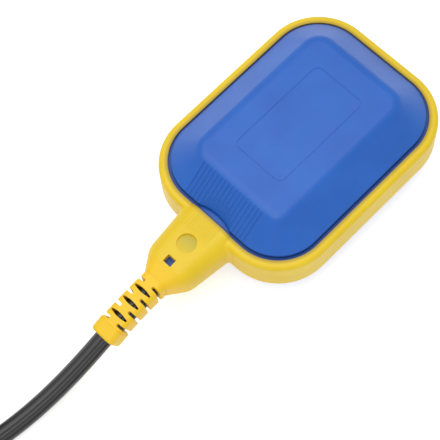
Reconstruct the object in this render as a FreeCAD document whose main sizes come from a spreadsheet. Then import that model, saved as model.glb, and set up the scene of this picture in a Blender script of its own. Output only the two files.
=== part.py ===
"""Float level switch: a two-part float in a moulded rim, with its ball-operated
switch inside and a three-core cable.

The frame has its origin on the flat face that the float lies on, under the
float's centre. +Z is up, +X runs along the float and away from the cable.
"""

import FreeCAD
import Part
import Sketcher

import math
import os
import re

from FreeCAD import Placement, Rotation, Vector

# Driving sizes in millimetres and degrees. Each one becomes a named cell.
SIZES = {
    # float, seen from above and from the side
    "float_height": 41.5,
    "rim_length": 106.6,
    "rim_width": 81.0,
    "rim_corner": 24.4,
    "rim_height": 17.0,
    "rim_edge": 2.2,
    "cover_length": 99.0,
    "cover_width": 73.6,
    "cover_corner": 20.8,
    "ledge_width": 1.35,
    "ledge_drop": 1.0,
    "step_rise": 2.0,
    "top_length": 71.4,
    "top_width": 45.6,
    "top_corner": 6.5,
    "top_edge": 6.0,
    "wall": 2.5,
    "flange_width": 2.0,
    "flange_thick": 1.5,
    # marks moulded into each shell
    "panel_length": 48.0,
    "panel_width": 25.2,
    "panel_corner": 3.0,
    "panel_line": 0.5,
    "panel_depth": 0.15,
    "groove_count": 17,
    "groove_pitch": 1.93,
    "groove_width": 0.9,
    "groove_depth": 0.2,
    "scallop_radius": 20.0,
    "scallop_depth": 1.9,
    "scallop_reach": 6.2,
    # neck of the shells, inside the moulded neck
    "grip_end": 75.0,
    "grip_half_width": 9.0,
    "grip_half_height": 6.0,
    "grip_corner": 4.0,
    "pillar_place": 63.3,
    "pillar_radius": 4.0,
    "pillar_top": 7.6,
    # moulded neck: half sizes at its root, shoulder and tip
    "root_place": 49.0,
    "root_half_width": 14.0,
    "root_half_height": 10.1,
    "root_corner": 8.0,
    "shoulder_place": 73.3,
    "shoulder_half_width": 11.4,
    "shoulder_half_height": 8.8,
    "shoulder_corner": 7.0,
    "tip_place": 81.0,
    "tip_half_width": 5.9,
    "tip_half_height": 5.75,
    "tip_corner": 3.4,
    "neck_blend": 2.0,
    "shoulder_round": 9.0,
    "recess_radius": 4.1,
    "recess_floor": 8.55,
    "recess_tilt": 6.5,
    "window_place": 72.7,
    "window_length": 3.4,
    "window_width": 4.0,
    # strain relief
    "relief_half": 5.55,
    "relief_corner": 3.1,
    "relief_length": 29.0,
    "collar_half": 5.8,
    "collar_length": 6.0,
    "slot_first": 3.4,
    "slot_pitch": 6.1,
    "side_slot_width": 1.3,
    "bridge_half": 2.0,
    "slot_end_round": 0.5,
    "slot_lip_round": 0.9,
    "lens_half": 3.7,
    "lens_width": 1.8,
    "lens_end": 0.4,
    "collar_round": 1.0,
    # cable
    "cable_radius": 3.9,
    "core_radius": 1.3,
    "sheath_end": 44.2,
    "seal_radius": 6.5,
    "seal_length": 3.0,
    "coil_x": -194.0,
    "coil_y": 53.0,
    "coil_inner": 27.0,
    "coil_outer": 51.0,
    "coil_step": 23.5,
    "coil_top": 31.3,
    "coil_top_outer": 41.0,
    "coil_last_outer": 45.5,
    "coil_chamfer": 1.2,
    "coil_entry_angle": 267.5,
    "coil_last_sweep": 180.0,
    "tie_angle": 120.0,
    "tie_width": 4.0,
    "tie_thick": 1.0,
    "tie_ease": 0.1,
    "lead_radius": 1.3,
    "lead_circle": 46.6,
    "lead_gap": 2.9,
    "lead_sweep": 60.0,
    "strand_radius": 0.7,
    "strand_sweep": 8.0,
    # switch carrier and ball race
    "carrier_level": 7.0,
    "carrier_thick": 2.0,
    "carrier_left": -30.0,
    "carrier_right": 37.0,
    "carrier_half": 20.5,
    "boss_radius": 3.5,
    "boss_left": -26.0,
    "boss_left_half": 17.0,
    "boss_right": 29.0,
    "boss_right_half": 15.0,
    "screw_radius": 1.3,
    "screw_head": 2.9,
    "ball_radius": 6.35,
    "ball_start": 28.5,
    "race_left": 3.5,
    "race_right": 35.0,
    "race_half": 6.5,
    "race_wall": 2.0,
    "race_top": 22.3,
    "race_lid": 1.6,
    "clip_left": 18.0,
    "clip_length": 4.0,
    "clip_thick": 1.2,
    "clip_foot": 12.0,
    "clip_hook": 1.3,
    # microswitch, lying on the carrier
    "switch_front": -3.3,
    "switch_depth": 15.9,
    "switch_half": 13.9,
    "switch_split": 16.8,
    "switch_top": 19.3,
    "switch_hole": 1.6,
    "hole_back": -16.3,
    "hole_front": -6.0,
    "hole_half": 11.1,
    "lug_radius": 1.9,
    "pivot_x": -1.4,
    "pivot_y": 9.0,
    "pin_radius": 0.8,
    "lever_low": 11.5,
    "lever_high": 16.5,
    "lever_near": 0.6,
    "lever_far": 1.4,
    "lever_reach": 16.0,
    "lever_free": 5.0,
    "plunger_y": -3.0,
    "plunger_half": 1.4,
    "plunger_play": 0.1,
    "plunger_head": 0.04,
    "plunger_length": 6.3,
    "blade_length": 8.0,
    "blade_half_width": 2.4,
    "blade_thick": 0.8,
    "blade_pitch": 9.5,
    "blade_level": 14.1,
    "receptacle_length": 8.0,
    "receptacle_half_width": 3.1,
    "receptacle_thick": 2.8,
}

# The cable's route, from the end of its sheath inside the float to the start of the coil.
CABLE_ROUTE = [
    (-44.2, 0.0, 20.75),
    (-96.2, 0.0, 20.75),
    (-125.7, 0.2, 9.66),
    (-150.0, 1.9, 4.0),
    (-172.1, 5.0, 4.0),
    (-196.05, 6.045, 4.0),
]

# Each arc takes this share of the shorter of its two runs.
ARC_SHARE = 0.45

DOC = FreeCAD.newDocument("float_level_switch")


# ---------------------------------------------------------------- sheet

def make_sheet():
    """Put every driving size in a cell that has its name."""
    sheet = DOC.addObject("Spreadsheet::Sheet", "sizes")
    for row, (name, value) in enumerate(SIZES.items(), start=1):
        sheet.set(f"A{row}", name)
        sheet.set(f"B{row}", str(value))
        sheet.setAlias(f"B{row}", name)
    DOC.recompute()
    return sheet


SHEET = make_sheet()


def cells(formula):
    """Turn the size names in a formula into references to their cells."""
    def reference(word):
        return "sizes." + word.group(0) if word.group(0) in SIZES else word.group(0)

    return re.sub(r"[a-z][a-z_]+", reference, str(formula))


def value(formula):
    """The number that a formula of size names gives."""
    return float(SHEET.evalExpression(cells(formula)))


def bind(item, prop, formula):
    """Bind a property of an object to a formula of size names."""
    item.setExpression(prop, cells(formula))


# ---------------------------------------------------------------- sketches

def add_body(label, level="0", turned=False):
    """A PartDesign body whose own frame is lifted to a level, or turned over."""
    body = DOC.addObject("PartDesign::Body", label)
    turn = Rotation(Vector(1, 0, 0), 180 if turned else 0)
    body.Placement = Placement(Vector(0, 0, value(level)), turn)
    return body


def origin_feature(body, role):
    return next(part for part in body.Origin.OriginFeatures if part.Role == role)


def add_sketch(body, name, plane, offset="0", shift="0"):
    """A sketch on one of the body's own planes, moved along its normal."""
    sketch = body.newObject("Sketcher::SketchObject", name)
    sketch.AttachmentSupport = [(origin_feature(body, plane + "_Plane"), "")]
    sketch.MapMode = "FlatFace"
    bind(sketch, "AttachmentOffset.Base.z", offset)
    bind(sketch, "AttachmentOffset.Base.x", shift)
    return sketch


def add_dimension(sketch, kind, formula, *points):
    """A driving dimension of a sketch, bound to a formula."""
    index = sketch.addConstraint(Sketcher.Constraint(kind, *points, value(formula)))
    bind(sketch, f"Constraints[{index}]", formula)


def draw_rounded(sketch, left, right, half, corner):
    """A rounded rectangle from left to right, centred on the sketch's X axis."""
    low_x, high_x = value(left), value(right)
    high_y, radius = value(half), value(corner)
    inner_x = (low_x + radius, high_x - radius)
    inner_y = high_y - radius

    def line(x1, y1, x2, y2):
        return Part.LineSegment(Vector(x1, y1, 0), Vector(x2, y2, 0))

    def arc(x, y, start):
        circle = Part.Circle(Vector(x, y, 0), Vector(0, 0, 1), radius)
        return Part.ArcOfCircle(circle, math.radians(start), math.radians(start + 90))

    first = sketch.GeometryCount
    sketch.addGeometry([
        line(inner_x[0], -high_y, inner_x[1], -high_y),
        arc(inner_x[1], -inner_y, 270),
        line(high_x, -inner_y, high_x, inner_y),
        arc(inner_x[1], inner_y, 0),
        line(inner_x[1], high_y, inner_x[0], high_y),
        arc(inner_x[0], inner_y, 90),
        line(low_x, inner_y, low_x, -inner_y),
        arc(inner_x[0], -inner_y, 180),
    ])
    sides = [first + step for step in range(8)]
    joins = [Sketcher.Constraint("Tangent", side, 2, sides[(step + 1) % 8], 1)
             for step, side in enumerate(sides)]
    level = [Sketcher.Constraint("Horizontal", sides[0]), Sketcher.Constraint("Horizontal", sides[4])]
    upright = [Sketcher.Constraint("Vertical", sides[2]), Sketcher.Constraint("Vertical", sides[6])]
    equal = [Sketcher.Constraint("Equal", sides[1], sides[step]) for step in (3, 5, 7)]
    sketch.addConstraint(joins + level + upright + equal)
    add_dimension(sketch, "DistanceX", left, -1, 1, sides[6], 1)
    add_dimension(sketch, "DistanceX", right, -1, 1, sides[2], 1)
    add_dimension(sketch, "DistanceY", half, -1, 1, sides[4], 1)
    add_dimension(sketch, "DistanceY", f"-({half})", -1, 1, sides[0], 1)
    add_dimension(sketch, "Radius", corner, sides[1])


def draw_centred(sketch, length, width, corner):
    """A rounded rectangle centred on the sketch's origin."""
    draw_rounded(sketch, f"-({length}) / 2", f"({length}) / 2", f"({width}) / 2", corner)


def draw_circle(sketch, x, y, radius):
    circle = Part.Circle(Vector(value(x), value(y), 0), Vector(0, 0, 1), value(radius))
    index = sketch.addGeometry(circle)
    add_dimension(sketch, "DistanceX", x, -1, 1, index, 3)
    add_dimension(sketch, "DistanceY", y, -1, 1, index, 3)
    add_dimension(sketch, "Radius", radius, index)


def draw_polygon(sketch, corners):
    """A closed outline through corners given as pairs of formulas."""
    points = [Vector(value(x), value(y), 0) for x, y in corners]
    first = sketch.GeometryCount
    count = len(points)
    sketch.addGeometry([Part.LineSegment(points[step], points[(step + 1) % count])
                        for step in range(count)])
    sketch.addConstraint([Sketcher.Constraint("Coincident", first + step, 2, first + (step + 1) % count, 1)
                          for step in range(count)])
    for step, (x, y) in enumerate(corners):
        add_dimension(sketch, "DistanceX", x, -1, 1, first + step, 1)
        add_dimension(sketch, "DistanceY", y, -1, 1, first + step, 1)


# ---------------------------------------------------------------- features

def add_feature(body, kind, name, sketch, length=None, both=False, back=False):
    """A pad or pocket of a sketch: a length, or through everything."""
    feature = body.newObject("PartDesign::" + kind, name)
    feature.Profile = sketch
    if both:
        feature.SideType = "Symmetric"
    feature.Reversed = back
    if length is None:
        feature.Type = "ThroughAll"
    else:
        bind(feature, "Length", length)
    DOC.recompute()
    body.Tip = feature
    return feature


def add_loft(body, kind, name, sketches):
    """A ruled loft through sketches that have the same number of sides."""
    feature = body.newObject("PartDesign::" + kind, name)
    feature.Profile = sketches[0]
    feature.Sections = sketches[1:]
    feature.Ruled = True
    DOC.recompute()
    body.Tip = feature
    return feature


def add_turned(body, kind, name, sketch, angle="360"):
    """A revolution or groove of a sketch about the sketch's own vertical axis."""
    feature = body.newObject("PartDesign::" + kind, name)
    feature.Profile = sketch
    feature.ReferenceAxis = (sketch, ["V_Axis"])
    bind(feature, "Angle", angle)
    DOC.recompute()
    body.Tip = feature
    return feature


def add_pipe(body, kind, name, profile, spine):
    feature = body.newObject("PartDesign::" + kind, name)
    feature.Profile = profile
    feature.Spine = spine
    DOC.recompute()
    body.Tip = feature
    return feature


def add_mirrored(body, name, originals, plane):
    feature = body.newObject("PartDesign::Mirrored", name)
    feature.Originals = originals
    feature.MirrorPlane = (origin_feature(body, plane + "_Plane"), [""])
    DOC.recompute()
    body.Tip = feature
    return feature


def add_row(body, name, originals, count, length):
    """Repeat features along Y."""
    feature = body.newObject("PartDesign::LinearPattern", name)
    feature.Originals = originals
    feature.Direction = (origin_feature(body, "Y_Axis"), [""])
    bind(feature, "Length", length)
    bind(feature, "Occurrences", count)
    DOC.recompute()
    body.Tip = feature
    return feature


def add_fillet(body, name, radius, chosen):
    """Round those edges of the body's tip for which chosen(edge) is true."""
    base = body.Tip
    edges = [f"Edge{index}" for index, edge in enumerate(base.Shape.Edges, start=1) if chosen(edge)]
    feature = body.newObject("PartDesign::Fillet", name)
    feature.Base = (base, edges)
    bind(feature, "Radius", radius)
    DOC.recompute()
    body.Tip = feature
    return feature


def lies_at(edge, level):
    """True for an edge that lies wholly in the plane z = level."""
    box = edge.BoundBox
    return abs(box.ZMin - level) < 1e-4 and abs(box.ZMax - level) < 1e-4


# ---------------------------------------------------------------- primitives

def place(item, x, y, z):
    for axis, formula in zip("xyz", (x, y, z)):
        bind(item, f"Placement.Base.{axis}", formula)


def add_box(name, x, y, z):
    """A box given by its (low, high) formulas along each axis."""
    box = DOC.addObject("Part::Box", name)
    for prop, (low, high) in zip(("Length", "Width", "Height"), (x, y, z)):
        bind(box, prop, f"({high}) - ({low})")
    place(box, x[0], y[0], z[0])
    return box


def add_rod(name, x, y, low, high, radius):
    """An upright cylinder between two levels."""
    rod = DOC.addObject("Part::Cylinder", name)
    bind(rod, "Radius", radius)
    bind(rod, "Height", f"({high}) - ({low})")
    place(rod, x, y, low)
    return rod


def add_level_rod(name, left, right, y, z, radius):
    """A cylinder that lies along X between two places."""
    rod = DOC.addObject("Part::Cylinder", name)
    bind(rod, "Radius", radius)
    bind(rod, "Height", f"({right}) - ({left})")
    rod.Placement = Placement(Vector(), Rotation(Vector(0, 1, 0), 90))
    place(rod, left, y, z)
    return rod


def join(label, shapes):
    fused = DOC.addObject("Part::MultiFuse", label)
    fused.Shapes = shapes
    fused.Refine = True
    return fused


def cut(label, base, tools):
    """The base without its tools."""
    result = DOC.addObject("Part::Cut", label)
    result.Base = base
    result.Tool = tools[0] if len(tools) == 1 else join(label + "_tools", tools)
    return result


def group(label, shapes):
    """Separate solids that share one node."""
    compound = DOC.addObject("Part::Compound", label)
    compound.Links = shapes
    return compound


# ---------------------------------------------------------------- float

LEDGE = "(rim_height / 2 - ledge_drop)"
STEP_TOP = f"({LEDGE} + step_rise)"
TOP = "(float_height / 2)"
MIDDLE = "float_height / 2"


def add_shell_form(body):
    """Outside of one shell in its own frame: joint plane at z = 0, flat top up."""
    flange = add_sketch(body, "flange_line", "XY")
    draw_centred(flange, "cover_length + 2 * flange_width", "cover_width + 2 * flange_width",
                 "cover_corner + flange_width")
    add_feature(body, "Pad", "flange", flange, "flange_thick")

    side = add_sketch(body, "side_line", "XY")
    draw_centred(side, "cover_length", "cover_width", "cover_corner")
    add_feature(body, "Pad", "side", side, LEDGE)

    step = add_sketch(body, "step_line", "XY", LEDGE)
    step_size = ["cover_length - 2 * ledge_width", "cover_width - 2 * ledge_width",
                 "cover_corner - ledge_width"]
    draw_centred(step, *step_size)
    add_feature(body, "Pad", "step", step, "step_rise")

    slope_foot = add_sketch(body, "slope_foot", "XY", STEP_TOP)
    draw_centred(slope_foot, *step_size)
    slope_head = add_sketch(body, "slope_head", "XY", TOP)
    draw_centred(slope_head, "top_length", "top_width", "top_corner")
    add_loft(body, "AdditiveLoft", "slope", [slope_foot, slope_head])
    add_fillet(body, "top_edge_round", "top_edge", lambda edge: lies_at(edge, value(TOP)))


def add_shell_marks(body):
    """Fine grooves, scallop and panel line, all sunk into the outside."""
    run = "(cover_length / 2 - ledge_width - top_length / 2)"
    rise = f"({TOP} - {STEP_TOP})"
    foot = "(ledge_width - cover_length / 2)"
    groove = add_sketch(body, "groove_line", "XZ", "groove_pitch * (groove_count - 1) / 2")
    draw_polygon(groove, [
        (f"{foot} - 0.6", f"{STEP_TOP} + 0.2"),
        (f"{foot} + groove_depth", STEP_TOP),
        (f"{foot} + 0.93 * {run} + groove_depth", f"{STEP_TOP} + 0.93 * {rise}"),
        (f"{foot} + 0.93 * {run} - 0.6", f"{STEP_TOP} + 0.93 * {rise} + 0.2"),
    ])
    first = add_feature(body, "Pocket", "groove", groove, "groove_width", both=True)
    add_row(body, "grooves", [first], "groove_count", "groove_pitch * (groove_count - 1)")

    centre = f"({foot} + scallop_depth - scallop_radius)"
    scallop = add_sketch(body, "scallop_line", "XZ", shift=centre)
    reach = "(scallop_radius - scallop_depth + scallop_reach)"
    climb = f"({STEP_TOP} + scallop_reach * {rise} / {run})"
    draw_polygon(scallop, [
        ("0", LEDGE),
        ("scallop_radius", LEDGE),
        ("scallop_radius", STEP_TOP),
        (reach, climb),
        ("0", climb),
    ])
    add_turned(body, "Groove", "scallop", scallop)

    panel = add_sketch(body, "panel_line_sketch", "XY", f"{TOP} - panel_depth")
    draw_centred(panel, "panel_length", "panel_width", "panel_corner")
    draw_centred(panel, "panel_length - 2 * panel_line", "panel_width - 2 * panel_line",
                 "panel_corner - panel_line")
    add_feature(body, "Pocket", "panel", panel, "2 * panel_depth", back=True)


def add_shell_neck(body):
    """Half of the neck that grips the cable, with the pillar under the recess."""
    grip = add_sketch(body, "grip_line", "YZ", "-grip_end")
    draw_rounded(grip, "-grip_half_width", "grip_half_width", "grip_half_height", "grip_corner")
    add_feature(body, "Pad", "grip", grip, "grip_end - cover_length / 2 + 1")
    halving = add_sketch(body, "halving_line", "XY")
    draw_polygon(halving, [("-90", "-30"), ("-30", "-30"), ("-30", "30"), ("-90", "30")])
    add_feature(body, "Pocket", "halving", halving, "30")
    pillar = add_sketch(body, "pillar_line", "XY")
    draw_circle(pillar, "-pillar_place", "0", "pillar_radius")
    add_feature(body, "Pad", "pillar", pillar, "pillar_top")


def add_shell_hollow(body):
    """Cavity, cable bore and the seat of the cable seal."""
    hollow = add_sketch(body, "hollow_line", "XY")
    draw_rounded(hollow, "-sheath_end + 0.2", "cover_length / 2 - wall", "cover_width / 2 - wall",
                 "cover_corner - wall")
    add_feature(body, "Pocket", "hollow", hollow, LEDGE, back=True)
    foot = add_sketch(body, "hollow_foot", "XY", LEDGE)
    draw_rounded(foot, "-sheath_end + 1", "cover_length / 2 - ledge_width - 2",
                 "cover_width / 2 - ledge_width - 2", "cover_corner - ledge_width - 2")
    head = add_sketch(body, "hollow_head", "XY", f"{TOP} - wall")
    draw_rounded(head, "-top_length / 2 + 4.2", "top_length / 2 - 1.8", "top_width / 2 - 1.5",
                 "top_corner - 1.5")
    add_loft(body, "SubtractiveLoft", "hollow_slope", [foot, head])
    bore = add_sketch(body, "bore_line", "YZ", "-grip_end")
    draw_circle(bore, "0", "0", "cable_radius")
    add_feature(body, "Pocket", "bore", bore, "grip_end - sheath_end + 1", back=True)
    seat = add_sketch(body, "seat_line", "YZ", "-sheath_end")
    draw_circle(seat, "0", "0", "seal_radius")
    add_feature(body, "Pocket", "seat", seat, "2 * seal_length", both=True)


def add_shell(label, turned):
    body = add_body(label, MIDDLE, turned)
    add_shell_form(body)
    add_shell_neck(body)
    add_shell_hollow(body)
    add_shell_marks(body)
    return body


def boss_places():
    """Centres of the four carrier bosses, as formulas."""
    return [(f"boss_{end}", f"{sign}boss_{end}_half") for end in ("left", "right") for sign in ("", "-")]


def make_shells():
    add_shell("upper_shell", turned=False)
    lower = add_shell("lower_shell", turned=True)
    level = f"{MIDDLE} - carrier_level"
    bosses = add_sketch(lower, "boss_lines", "XY", level)
    for x, y in boss_places():
        draw_circle(bosses, x, y, "boss_radius")
    add_feature(lower, "Pad", "bosses", bosses, "carrier_level - wall + 0.5")
    holes = add_sketch(lower, "boss_hole_lines", "XY", level)
    for x, y in boss_places():
        draw_circle(holes, x, y, "screw_radius")
    add_feature(lower, "Pocket", "boss_holes", holes, "carrier_level - wall", back=True)


# ---------------------------------------------------------------- route of the cable

def round_path(points, share=ARC_SHARE):
    """Straight runs joined by tangent arcs: the edges, and the arcs' radii."""
    spots = [Vector(*point) for point in points]
    edges, radii = [], []
    start = spots[0]
    for before, corner, after in zip(spots, spots[1:], spots[2:]):
        back, on = before - corner, after - corner
        reach = share * min(back.Length, on.Length)
        half_turn = (math.pi - back.getAngle(on)) / 2
        radius = reach / math.tan(half_turn)
        back.normalize()
        on.normalize()
        inward = (back + on).normalize()
        middle = corner + inward * (radius / math.cos(half_turn) - radius)
        arc_start, arc_end = corner + back * reach, corner + on * reach
        edges.append(Part.LineSegment(start, arc_start).toShape())
        edges.append(Part.Arc(arc_start, middle, arc_end).toShape())
        radii.append(radius)
        start = arc_end
    edges.append(Part.LineSegment(start, spots[-1]).toShape())
    return edges, radii


def sweep_round(name, points, radius, share=ARC_SHARE):
    """A round tube along a route, its volume checked against its length."""
    edges, radii = round_path(points, share)
    wire = Part.Wire(edges)
    start, ahead = Vector(*points[0]), Vector(*points[1])
    ring = Part.Wire(Part.Circle(start, ahead - start, radius).toShape())
    solid = wire.makePipeShell([ring], True, False)
    expected = math.pi * radius ** 2 * wire.Length
    if abs(solid.Volume / expected - 1) > 0.01:
        raise RuntimeError(f"{name}: the tube's volume is off")
    print(f"{name}: length {wire.Length:.1f}, arc radii {[round(bend, 1) for bend in radii]}")
    tube = DOC.addObject("Part::Feature", name)
    tube.Shape = solid
    return tube


# ---------------------------------------------------------------- overmould

def relief_spine():
    """The strain relief's axis: where it starts to bend, its radius and the bend's angle."""
    first, corner, after = (Vector(*point) for point in CABLE_ROUTE[:3])
    turn = math.pi - (first - corner).getAngle(after - corner)
    reach = ARC_SHARE * min((corner - first).Length, (after - corner).Length)
    radius = reach / math.tan(turn / 2)
    return -corner.x - reach, radius


def spine_point(distance):
    """Place and fall of the strain relief's axis, a distance along it from the neck's tip."""
    bend_start, radius = relief_spine()
    beyond = value("tip_place") + distance - bend_start
    if beyond <= 0:
        return -value("tip_place") - distance, 0.0, 0.0
    angle = beyond / radius
    return -bend_start - radius * math.sin(angle), radius * (math.cos(angle) - 1), angle


def draw_spine(sketch, start):
    """A straight stretch and an arc, down to the collar's end."""
    bend_start, radius = relief_spine()
    end_x, end_z, angle = spine_point(value("relief_length"))
    circle = Part.Circle(Vector(-bend_start, -radius, 0), Vector(0, 0, 1), radius)
    sketch.addGeometry([
        Part.LineSegment(Vector(-start, 0, 0), Vector(-bend_start, 0, 0)),
        Part.ArcOfCircle(circle, math.pi / 2, math.pi / 2 + angle),
    ])
    sketch.addConstraint([
        Sketcher.Constraint("Tangent", 0, 2, 1, 1),
        Sketcher.Constraint("Horizontal", 0),
        Sketcher.Constraint("Radius", 1, radius),
    ])
    return end_x, end_z, angle


def slot_sketch(body, name, distance):
    """A sketch that crosses the strain relief's axis and is square to it along its Y."""
    x, z, angle = spine_point(distance)
    sketch = add_sketch(body, name, "XY")
    sketch.MapMode = "Deactivated"
    turn = Rotation(Vector(0, 1, 0), -math.degrees(angle))
    sketch.Placement = Placement(Vector(x, 0, z), turn.multiply(Rotation(Vector(0, 0, 1), 90)))
    return sketch


def draw_side_slot(sketch, side):
    """A slot open at one side: rounded inner corners, and a mouth that rounds the rings beside it."""
    half, face = value("side_slot_width / 2"), value("relief_half")
    inner, far = value("bridge_half"), 2 * face
    end, lip = value("slot_end_round"), value("slot_lip_round")

    def spot(x, y):
        return Vector(side * x, y, 0)

    def arc(x, y, radius, start):
        first, middle, last = (math.radians(start + turn) for turn in (0, 45, 90))
        return Part.Arc(*(spot(x + radius * math.cos(angle), y + radius * math.sin(angle))
                          for angle in (first, middle, last)))

    first = sketch.GeometryCount
    sketch.addGeometry([
        Part.LineSegment(spot(inner + end, -half), spot(face - lip, -half)),
        arc(face - lip, -half - lip, lip, 0),
        Part.LineSegment(spot(face, -half - lip), spot(far, -half - lip)),
        Part.LineSegment(spot(far, -half - lip), spot(far, half + lip)),
        Part.LineSegment(spot(far, half + lip), spot(face, half + lip)),
        arc(face - lip, half + lip, lip, 270),
        Part.LineSegment(spot(face - lip, half), spot(inner + end, half)),
        arc(inner + end, half - end, end, 90),
        Part.LineSegment(spot(inner, half - end), spot(inner, end - half)),
        arc(inner + end, end - half, end, 180),
    ])
    for step, radius in ((1, "slot_lip_round"), (5, "slot_lip_round"), (7, "slot_end_round"),
                         (9, "slot_end_round")):
        add_dimension(sketch, "Radius", radius, first + step)


def draw_lens(sketch):
    """A slot that swells in its middle and has round ends."""
    half, end, swell = value("lens_half"), value("lens_end"), value("lens_width / 2")

    def arc(*spots):
        return Part.Arc(*(Vector(x, y, 0) for x, y in spots))

    first = sketch.GeometryCount
    sketch.addGeometry([
        arc((-half, -end), (0, -swell), (half, -end)),
        arc((half, -end), (half + end, 0), (half, end)),
        arc((half, end), (0, swell), (-half, end)),
        arc((-half, end), (-half - end, 0), (-half, -end)),
    ])
    sketch.addConstraint([Sketcher.Constraint("Coincident", first + step, 2, first + (step + 1) % 4, 1)
                          for step in range(4)])
    for step in (1, 3):
        add_dimension(sketch, "Radius", "lens_end", first + step)


def add_neck(body):
    """The moulded neck: broad root, shoulder and tip."""
    sections = []
    for name in ("root", "shoulder", "tip"):
        section = add_sketch(body, name + "_line", "YZ", f"-{name}_place")
        draw_rounded(section, f"-{name}_half_width", f"{name}_half_width", f"{name}_half_height",
                     f"{name}_corner")
        sections.append(section)
    add_loft(body, "AdditiveLoft", "neck", sections)


def meets_rim(edge):
    """True for an edge where the neck's side comes out of the rim."""
    box = edge.BoundBox
    least, most = sorted([abs(box.YMin), abs(box.YMax)])
    starts_in_rim = -value("rim_length / 2") - 0.01 < box.XMin < -value("root_place") - 0.01
    beside_neck = 0.7 * value("root_half_width") < least and most < value("root_half_width")
    return starts_in_rim and box.XMax < -value("root_place") + 0.01 and beside_neck


def lies_across(edge, place):
    """True for an edge that lies wholly in the plane x = -place."""
    box = edge.BoundBox
    return abs(box.XMin + place) < 1e-3 and abs(box.XMax + place) < 1e-3


def round_neck(body):
    """Blend the neck's root into the rim, and round its shoulder."""
    add_fillet(body, "neck_blend_round", "neck_blend", meets_rim)
    shoulder = value("shoulder_place")
    add_fillet(body, "shoulder_rounding", "shoulder_round", lambda edge: lies_across(edge, shoulder))


def add_relief(body):
    """The bent strain relief, a rounded square, and the collar at its end."""
    spine = add_sketch(body, "relief_spine", "XZ")
    end_x, end_z, angle = draw_spine(spine, value("grip_end"))
    profile = add_sketch(body, "relief_line", "YZ", "-grip_end")
    draw_rounded(profile, "-relief_half", "relief_half", "relief_half", "relief_corner")
    add_pipe(body, "AdditivePipe", "relief", profile, spine)
    collar = add_sketch(body, "collar_line", "YZ")
    collar.AttachmentOffset = Placement(Vector(0, end_z, end_x), Rotation(Vector(1, 0, 0), 0))
    collar.MapMode = "Deactivated"
    turn = Rotation(Vector(0, 1, 0), -math.degrees(angle))
    collar.Placement = Placement(Vector(end_x, 0, end_z), turn.multiply(Rotation(0.5, 0.5, 0.5, 0.5)))
    draw_rounded(collar, "-collar_half", "collar_half", "collar_half", "relief_corner")
    add_feature(body, "Pad", "collar", collar, "collar_length")
    end = Vector(end_x, 0, end_z)
    along = Vector(-math.cos(angle), 0, -math.sin(angle))
    add_fillet(body, "collar_rounding", "collar_round",
               lambda edge: all(abs((spot - end).dot(along)) < 0.01 for spot in edge.discretize(5)))
    return spine


def add_relief_slots(body):
    """Side slots and middle slots by turns, so the strain relief bends both ways."""
    for step in range(4):
        sides = slot_sketch(body, f"side_slots_line_{step}", value(f"slot_first + {step} * slot_pitch"))
        draw_side_slot(sides, 1)
        draw_side_slot(sides, -1)
        add_feature(body, "Pocket", f"side_slots_{step}", sides, "4 * relief_half", both=True)
    for step in range(3):
        middle = slot_sketch(body, f"middle_slot_line_{step}",
                             value(f"slot_first + ({step} + 0.5) * slot_pitch"))
        draw_lens(middle)
        add_feature(body, "Pocket", f"middle_slot_{step}", middle, "4 * relief_half", both=True)


def add_neck_openings(body):
    """Round recess and square window, above and below."""
    recess = add_sketch(body, "recess_line", "XY")
    recess.MapMode = "Deactivated"
    recess.Placement = Placement(Vector(-value("pillar_place"), 0, value("recess_floor")),
                                 Rotation(Vector(0, 1, 0), value("recess_tilt")))
    draw_circle(recess, "0", "0", "recess_radius")
    dip = add_feature(body, "Pocket", "recess", recess, "4", back=True)
    add_mirrored(body, "recess_mirrored", [dip], "XY")
    window = add_sketch(body, "window_line", "XY", "grip_half_height")
    left = "-window_place - window_length / 2"
    right = "-window_place + window_length / 2"
    low, high = "-window_width / 2", "window_width / 2"
    draw_polygon(window, [(left, low), (right, low), (right, high), (left, high)])
    hole = add_feature(body, "Pocket", "window", window, "8", back=True)
    add_mirrored(body, "window_mirrored", [hole], "XY")


def add_overmould_seats(body, spine):
    """Room for the shells, their joint flange and neck, and for the cable."""
    opening = add_sketch(body, "opening_line", "XY")
    draw_centred(opening, "cover_length", "cover_width", "cover_corner")
    add_feature(body, "Pocket", "opening", opening, "2 * float_height", both=True)
    channel = add_sketch(body, "channel_line", "XY")
    draw_centred(channel, "cover_length + 2 * flange_width", "cover_width + 2 * flange_width",
                 "cover_corner + flange_width")
    add_feature(body, "Pocket", "channel", channel, "2 * flange_thick", both=True)
    tunnel = add_sketch(body, "tunnel_line", "YZ", "-grip_end")
    draw_rounded(tunnel, "-grip_half_width", "grip_half_width", "grip_half_height", "grip_corner")
    add_feature(body, "Pocket", "tunnel", tunnel, "grip_end - cover_length / 2 + 1", back=True)
    pillar = add_sketch(body, "pillar_hole_line", "XY")
    draw_circle(pillar, "-pillar_place", "0", "pillar_radius")
    add_feature(body, "Pocket", "pillar_hole", pillar, "2 * pillar_top", both=True)
    bore = add_sketch(body, "cable_hole_line", "YZ", "-grip_end")
    draw_circle(bore, "0", "0", "cable_radius")
    add_pipe(body, "SubtractivePipe", "cable_hole", bore, spine)


def make_overmould():
    body = add_body("overmould", MIDDLE)
    rim = add_sketch(body, "rim_line", "XY")
    draw_centred(rim, "rim_length", "rim_width", "rim_corner")
    add_feature(body, "Pad", "rim", rim, "rim_height", both=True)
    edge = value("rim_height / 2")
    add_fillet(body, "rim_round", "rim_edge", lambda side: lies_at(side, edge) or lies_at(side, -edge))
    add_neck(body)
    round_neck(body)
    spine = add_relief(body)
    add_overmould_seats(body, spine)
    add_neck_openings(body)
    add_relief_slots(body)


# ---------------------------------------------------------------- cable

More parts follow.
